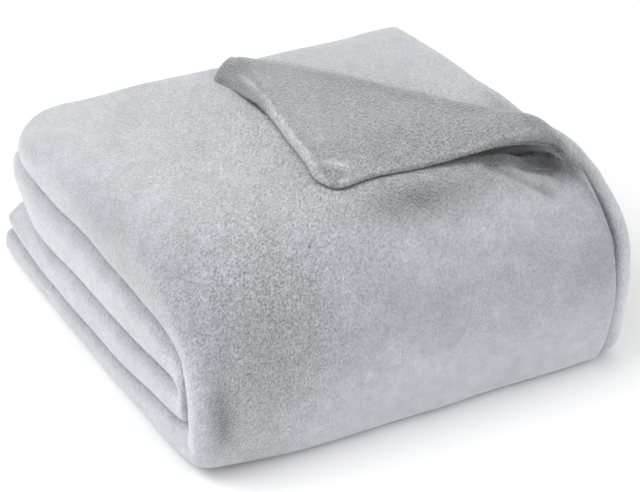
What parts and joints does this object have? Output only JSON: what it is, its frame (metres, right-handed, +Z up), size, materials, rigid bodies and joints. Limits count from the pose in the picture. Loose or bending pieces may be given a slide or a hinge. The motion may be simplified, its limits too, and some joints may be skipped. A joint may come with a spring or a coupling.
{
  "type": "weighted blanket",
  "caption": "Plush weighted blanket folded into a thick stack of layers, with the top sheet's back corner turned over towards the front.",
  "frame": {"origin": "middle of the folded stack's footprint, on the surface it rests on", "axes": "+Z up, -Y to the smooth front fold, +X to the end where the turned corner's crease comes down"},
  "size_m": [0.4804, 0.4876, 0.2196],
  "materials": {
    "plush": "short brushed pile, matt with a soft sheen"
  },
  "bodies": {
    "root": {"blanket": "plush"}
  },
  "joints": []
}
